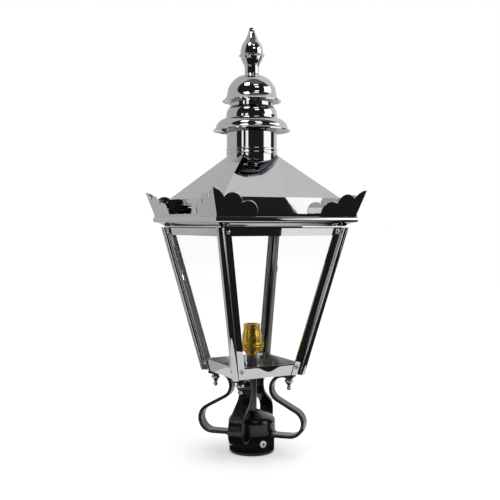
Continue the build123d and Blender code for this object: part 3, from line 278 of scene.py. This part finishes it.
finishes = {"stainless": steel, "black_casting": casting, "conduit": drawnTube, "fixings": nickel,
            "acorn_nuts": nickel, "brass": brass, "spring": nickel, "glass": glass, "rubber": rubber,
            "ceramic": ceramic}
spunNodes = ("chimney_tube", "tube_foot_ring", "vent_skirt", "waist_collar", "upper_dome", "finial")
ownFinishes = {"base_tray": traySteel, "cornice": corniceSteel, "glazing_strips": tape}
ownFinishes.update({name: zinc for name in nodes if name.startswith("clamp_screw")})
for part in frame["record"]["subparts"]:
    finish = finishes[part["material_slot"]]
    if part["node"] in spunNodes:
        finish = spun
    finish = ownFinishes.get(part["node"], finish)
    for slot in nodes[part["node"]].material_slots:
        slot.material = finish
print("materials made:", len(bpy.data.materials))


def meshObject(name, made):
    mesh = bpy.data.meshes.new(name)
    made.to_mesh(mesh)
    made.free()
    thing = bpy.data.objects.new(name, mesh)
    bpy.context.scene.collection.objects.link(thing)
    return thing


def fitPiece(piece, body, finish, sharp=30):  # smooth but for edges sharper than this many degrees
    piece.data.materials.clear()
    piece.data.materials.append(finish)
    piece.data.shade_smooth()
    piece.data.set_sharp_from_angle(angle=math.radians(sharp))
    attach(piece, body)
    return piece


def spinOutline(outline, steps):  # a closed line of (radius, height) in mm, turned once round the axis
    made = bmesh.new()
    chain = [made.verts.new((radius * mm, 0, height * mm)) for radius, height in outline]
    edges = [made.edges.new(pair) for pair in zip(chain, chain[1:] + chain[:1])]
    bmesh.ops.spin(made, geom=chain + edges, cent=(0, 0, 0), axis=(0, 0, 1), angle=2 * math.pi, steps=steps,
                   use_merge=True, use_duplicate=False)
    bmesh.ops.remove_doubles(made, verts=made.verts, dist=0.001 * mm)
    bmesh.ops.recalc_face_normals(made, faces=made.faces)
    return made


# two milled rings screwed on the lampholder, in mm
shadeRings = {"rings": 2, "foot": 211.5, "height": 3.7, "gap": 1.2, "outer": 24.3, "inner": 16.9,
              "rounding": 0.8, "teeth": 44, "toothDepth": 0.8, "rimDepth": 0.1}


def makeShadeRings(look=shadeRings):
    whole = bmesh.new()
    for index in range(look["rings"]):
        low = look["foot"] + index * (look["height"] + look["gap"])
        high, soft, outer = low + look["height"], look["rounding"], look["outer"]
        ring = spinOutline([(look["inner"], low), (outer - soft, low), (outer, low + soft),
                            (outer, high - soft), (outer - soft, high), (look["inner"], high)],
                           2 * look["teeth"])
        for vertex in ring.verts:  # every second line of the rim goes in, which leaves the milled teeth
            radius = vertex.co.xy.length
            step = round(math.atan2(vertex.co.y, vertex.co.x) / math.pi * look["teeth"])
            if radius > (outer - look["rimDepth"]) * mm and step % 2:
                vertex.co.xy *= 1 - look["toothDepth"] * mm / radius
        mesh = bpy.data.meshes.new("shadeRingTurned")
        ring.to_mesh(mesh)
        ring.free()
        whole.from_mesh(mesh)
        bpy.data.meshes.remove(mesh)
    piece = fitPiece(meshObject("milledShadeRings", whole), "lantern", brass)
    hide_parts("shade_rings")


makeShadeRings()
print("shade rings made")

# the rolled edges of the crests, in mm and degrees: each lobe is the arc through three points, given as
# shares of the wing's span back from the corner and of its height
crestEdge = {"half": 150.0, "top": 477.4, "height": 45.0, "span": 82.0, "lean": 16.9, "radius": 0.85,
             "steps": 10, "sharp": 50,
             "lobes": [((0, 1), (0.172, 0.87), (0.24, 0.655)), ((0.24, 0.655), (0.435, 0.82), (0.66, 0.44)),
                       ((0.66, 0.44), (0.83, 0.51), (1, 0))]}


def arcThrough(first, middle, last, steps):  # points along the arc of three
    (ax, ay), (bx, by), (cx, cy) = first, middle, last
    double = 2 * (ax * (by - cy) + bx * (cy - ay) + cx * (ay - by))
    squares = [x * x + y * y for x, y in (first, middle, last)]
    ox = (squares[0] * (by - cy) + squares[1] * (cy - ay) + squares[2] * (ay - by)) / double
    oy = (squares[0] * (cx - bx) + squares[1] * (ax - cx) + squares[2] * (bx - ax)) / double
    radius = math.hypot(ax - ox, ay - oy)
    start, mid, stop = [math.atan2(y - oy, x - ox) for x, y in (first, middle, last)]
    sweep = (stop - start) % (2 * math.pi)
    if (mid - start) % (2 * math.pi) > sweep:
        sweep -= 2 * math.pi
    turns = [start + sweep * i / steps for i in range(steps + 1)]
    return [(ox + radius * math.cos(turn), oy + radius * math.sin(turn)) for turn in turns]


def makeCrestEdges(look=crestEdge):
    lean = math.tan(math.radians(look["lean"]))
    rise = math.hypot(1, lean)

    def flat(back, up):  # the wing's own plane, as the sheet is cut
        up *= look["height"]
        return look["half"] + lean * up - look["span"] * back, up * rise

    line = [flat(*look["lobes"][0][0])]
    for lobe in look["lobes"]:
        line += arcThrough(*[flat(*point) for point in lobe], look["steps"])[1:]
    wing = [Vector((x, -look["half"] - lean * y / rise, look["top"] + y / rise)) * mm for x, y in line]
    mirrored = [Vector((-point.y, -point.x, point.z)) for point in reversed(wing)]
    for turn, corner in enumerate(("front_right", "back_right", "back_left", "front_left")):
        shape = bpy.data.curves.new("crestEdgeLine", "CURVE")
        shape.dimensions = "3D"
        shape.bevel_depth = look["radius"] * mm
        shape.bevel_resolution = 3
        shape.use_fill_caps = True
        spline = shape.splines.new("POLY")
        points = mirrored[:-1] + wing
        spline.points.add(len(points) - 1)
        for point, place in zip(spline.points, points):
            point.co = (Matrix.Rotation(turn * math.pi / 2, 3, "Z") @ place).to_4d()
        drawn = bpy.data.objects.new("crestEdgeLine", shape)
        bpy.context.scene.collection.objects.link(drawn)
        mesh = bpy.data.meshes.new_from_object(drawn)
        bpy.data.objects.remove(drawn)
        piece = bpy.data.objects.new("rolled_edge_" + corner, mesh)
        bpy.context.scene.collection.objects.link(piece)
        fitPiece(piece, "lid", steel, look["sharp"])


makeCrestEdges()
print("crest edges made")

# floor, reflectors, lamps and camera, in metres and degrees
studio = {"cameraTurn": -27.94, "cameraDistance": 1.664, "cameraHeight": 0.459, "cameraDrop": 1.82,
          "lens": 59.7, "sensor": 36, "shift": -0.0036, "floorSize": 14.0, "floorLift": 0.3,
          "roomLight": 0.8, "cardSteps": 24, "lampAim": 0.4}


def aroundCamera(angle, radius, height):  # angle from the camera's side of the lantern, to the camera's right
    turn = math.radians(studio["cameraTurn"] + angle)
    return Vector((math.sin(turn) * radius, -math.cos(turn) * radius, height))


floorMesh = bmesh.new()
bmesh.ops.create_grid(floorMesh, x_segments=1, y_segments=1, size=studio["floorSize"] / 2)
floor = meshObject("studioFloor", floorMesh)
# pale matt paint, lifted a little to the eye alone, so the floor runs into the white room behind it
floorPaint, tree = startMaterial("paleStudioFloor")[:2]
rays = addNode(tree, "ShaderNodeLightPath", {}).outputs
shown = addNode(tree, "ShaderNodeMath", {0: rays["Is Camera Ray"], 1: rays["Is Transmission Ray"]},
                operation="MAXIMUM").outputs[0]
matt = addNode(tree, "ShaderNodeBsdfDiffuse", {"Color": linear("#F4F4F4")})
lift = addNode(tree, "ShaderNodeEmission", {"Color": linear("#FFFFFF"), "Strength": studio["floorLift"]})
unlit = addNode(tree, "ShaderNodeEmission", {"Strength": 0.0})
chosen = addNode(tree, "ShaderNodeMixShader", {0: shown, 1: unlit.outputs[0], 2: lift.outputs[0]})
both = addNode(tree, "ShaderNodeAddShader", {0: matt.outputs[0], 1: chosen.outputs[0]})
addNode(tree, "ShaderNodeOutputMaterial", {"Surface": both.outputs[0]})
floor.data.materials.append(floorPaint)

# cloths, cards and softboxes that only the object's own mirrors see: name, from and to angle,
# (radius, height, any further turn) in metres and degrees, level
darkWall, lowWall = [(2.4, -0.2), (2.4, 2.2), (1.4, 2.9)], [(2.35, -0.2), (2.35, 1.1)]
cards = [
    ("clothFront", -72, 66, darkWall, 0.018),
    ("clothRightLow", 66, 121, [(2.4, -0.2), (2.4, 1.1)], 0.018),
    ("clothRightHigh", 66, 100, [(2.4, 2.1), (1.4, 2.9)], 0.05),
    ("stripeOuter", -46, -38, lowWall, 1.3),
    ("stripeInner", -28, -16, lowWall, 1.3),
    ("softboxLow", 56, 97, lowWall, 1.5),
    ("slantedFlag", 50, 56, [(2.3, 0.30, 3.0), (2.3, 0.50, 2.1), (2.3, 0.60, 0.2)], 0.018),
    ("softboxHigh", 63, 104, [(2.35, 1.1), (2.35, 2.15)], 2.2),
    ("softboxAbove", -45, -17, [(1.55, 2.25), (0.95, 2.7)], 9.0),
    ("windowLow", 16, 36, [(2.2, 1.95), (2.2, 2.25)], 2.5),
    ("windowHigh", 12, 38, [(1.75, 2.42), (1.55, 2.62)], 2.5),
    ("wallRight", 97, 121, [(2.4, 1.1), (2.4, 2.4), (1.4, 2.9)], 0.76),
    ("wallBack", 121, 180, [(2.4, -0.2), (2.4, 2.4), (1.4, 2.9)], 0.76),
    ("wallLeft", -180, -72, [(2.4, -0.2), (2.4, 2.4), (1.4, 2.9), (0.02, 3.0)], 0.56),
    ("ceilingFront", -72, 100, [(1.4, 2.9), (0.02, 3.0)], 0.14),
    ("ceilingBack", 100, 180, [(1.4, 2.9), (0.02, 3.0)], 0.78),
    ("clothUnder", -180, 180, [(0.005, 0.006), (0.17, 0.006)], 0.02),
    ("clothNear", -72, 121, [(0.42, 0.004), (1.45, 0.004)], 0.015),
    ("boardBelow", 57, 64.6, [(1.19, 0.008), (1.6, 0.008)], 1.1),
    ("clothFar", -5, 66, [(1.45, 0.004), (2.5, 0.004)], 0.015),
    ("floorFrontLeft", -72, -5, [(1.45, 0.004), (2.5, 0.004)], 0.3),
    ("floorBelowSoftbox", 66, 97, [(1.45, 0.004), (2.5, 0.004)], 1.1),
    ("floorRight", 97, 121, [(1.45, 0.004), (2.5, 0.004)], 0.1),
    ("floorBack", 121, 180, [(0.5, 0.004), (2.5, 0.004)], 0.6),
    ("floorLeft", -180, -72, [(0.5, 0.004), (2.5, 0.004)], 0.52),
]
for name, start, stop, outline, level in cards:
    cardMesh = bmesh.new()
    chain = [cardMesh.verts.new(aroundCamera(start + sum(further), radius, height))
             for radius, height, *further in outline]
    edges = [cardMesh.edges.new(pair) for pair in zip(chain, chain[1:])]
    bmesh.ops.spin(cardMesh, geom=chain + edges, cent=(0, 0, 0), axis=(0, 0, 1),
                   angle=math.radians(stop - start), steps=studio["cardSteps"], use_duplicate=False)
    card = meshObject(name, cardMesh)
    paint, tree = startMaterial(name + "Paint")[:2]
    rays = addNode(tree, "ShaderNodeLightPath", {}).outputs
    # a ray that only came through the glass goes on to the white room, one off a mirror sees the card
    mirrored = addNode(tree, "ShaderNodeMath", {0: rays["Glossy Depth"], 1: 0.5},
                       operation="GREATER_THAN").outputs[0]
    clear = addNode(tree, "ShaderNodeBsdfTransparent", {}).outputs[0]
    glow = addNode(tree, "ShaderNodeEmission", {"Strength": level}).outputs[0]
    shown = addNode(tree, "ShaderNodeMixShader", {0: mirrored, 1: clear, 2: glow}).outputs[0]
    addNode(tree, "ShaderNodeOutputMaterial", {"Surface": shown})
    card.data.materials.append(paint)
    card.visible_camera = card.visible_diffuse = card.visible_shadow = False
    card.visible_volume_scatter = False

lamps = [  # name, angle, distance, height and size in metres, watts
    ("keySoftbox", 60, 2.2, 1.5, 1.2, 12),
    ("fillSoftbox", -55, 2.4, 1.2, 1.4, 5),
    ("topSoftbox", 150, 0.8, 2.6, 1.6, 8),
]
for name, angle, radius, height, size, power in lamps:
    data = bpy.data.lights.new(name, "AREA")
    data.shape, data.size, data.energy = "DISK", size, power
    lamp = bpy.data.objects.new(name, data)
    bpy.context.scene.collection.objects.link(lamp)
    lamp.location = aroundCamera(angle, radius, height)
    towards = Vector((0, 0, studio["lampAim"])) - lamp.location
    lamp.rotation_euler = towards.to_track_quat("-Z", "Y").to_euler()
    lamp.visible_camera = lamp.visible_glossy = False

world = bpy.data.worlds.new("paleRoom")
bpy.context.scene.world = world
world.use_nodes = True
tree = world.node_tree
tree.nodes.clear()
# pure white to the eye, in mirrors and through the glass, and a little less as light on the object
rays = addNode(tree, "ShaderNodeLightPath", {}).outputs
direct = addNode(tree, "ShaderNodeMath", {0: rays["Is Camera Ray"], 1: rays["Is Glossy Ray"]},
                 operation="MAXIMUM").outputs[0]
shown = addNode(tree, "ShaderNodeMath", {0: direct, 1: rays["Is Transmission Ray"]},
                operation="MAXIMUM").outputs[0]
ambient = addNode(tree, "ShaderNodeBackground", {"Color": linear("#FFFFFF"),
                                                 "Strength": studio["roomLight"]}).outputs[0]
backdrop = addNode(tree, "ShaderNodeBackground", {"Color": linear("#FFFFFF"), "Strength": 1.0}).outputs[0]
mixed = addNode(tree, "ShaderNodeMixShader", {0: shown, 1: ambient, 2: backdrop}).outputs[0]
addNode(tree, "ShaderNodeOutputWorld", {"Surface": mixed})

cameraData = bpy.data.cameras.new("photoCamera")
cameraData.lens = studio["lens"]
cameraData.sensor_width = studio["sensor"]
cameraData.shift_x = studio["shift"]
camera = bpy.data.objects.new("photoCamera", cameraData)
bpy.context.scene.collection.objects.link(camera)
camera.location = aroundCamera(0, studio["cameraDistance"], studio["cameraHeight"])
camera.rotation_euler = (math.radians(90 - studio["cameraDrop"]), 0, math.radians(studio["cameraTurn"]))
bpy.context.scene.camera = camera
bpy.context.scene.view_settings.view_transform = "Standard"
print("studio ready")
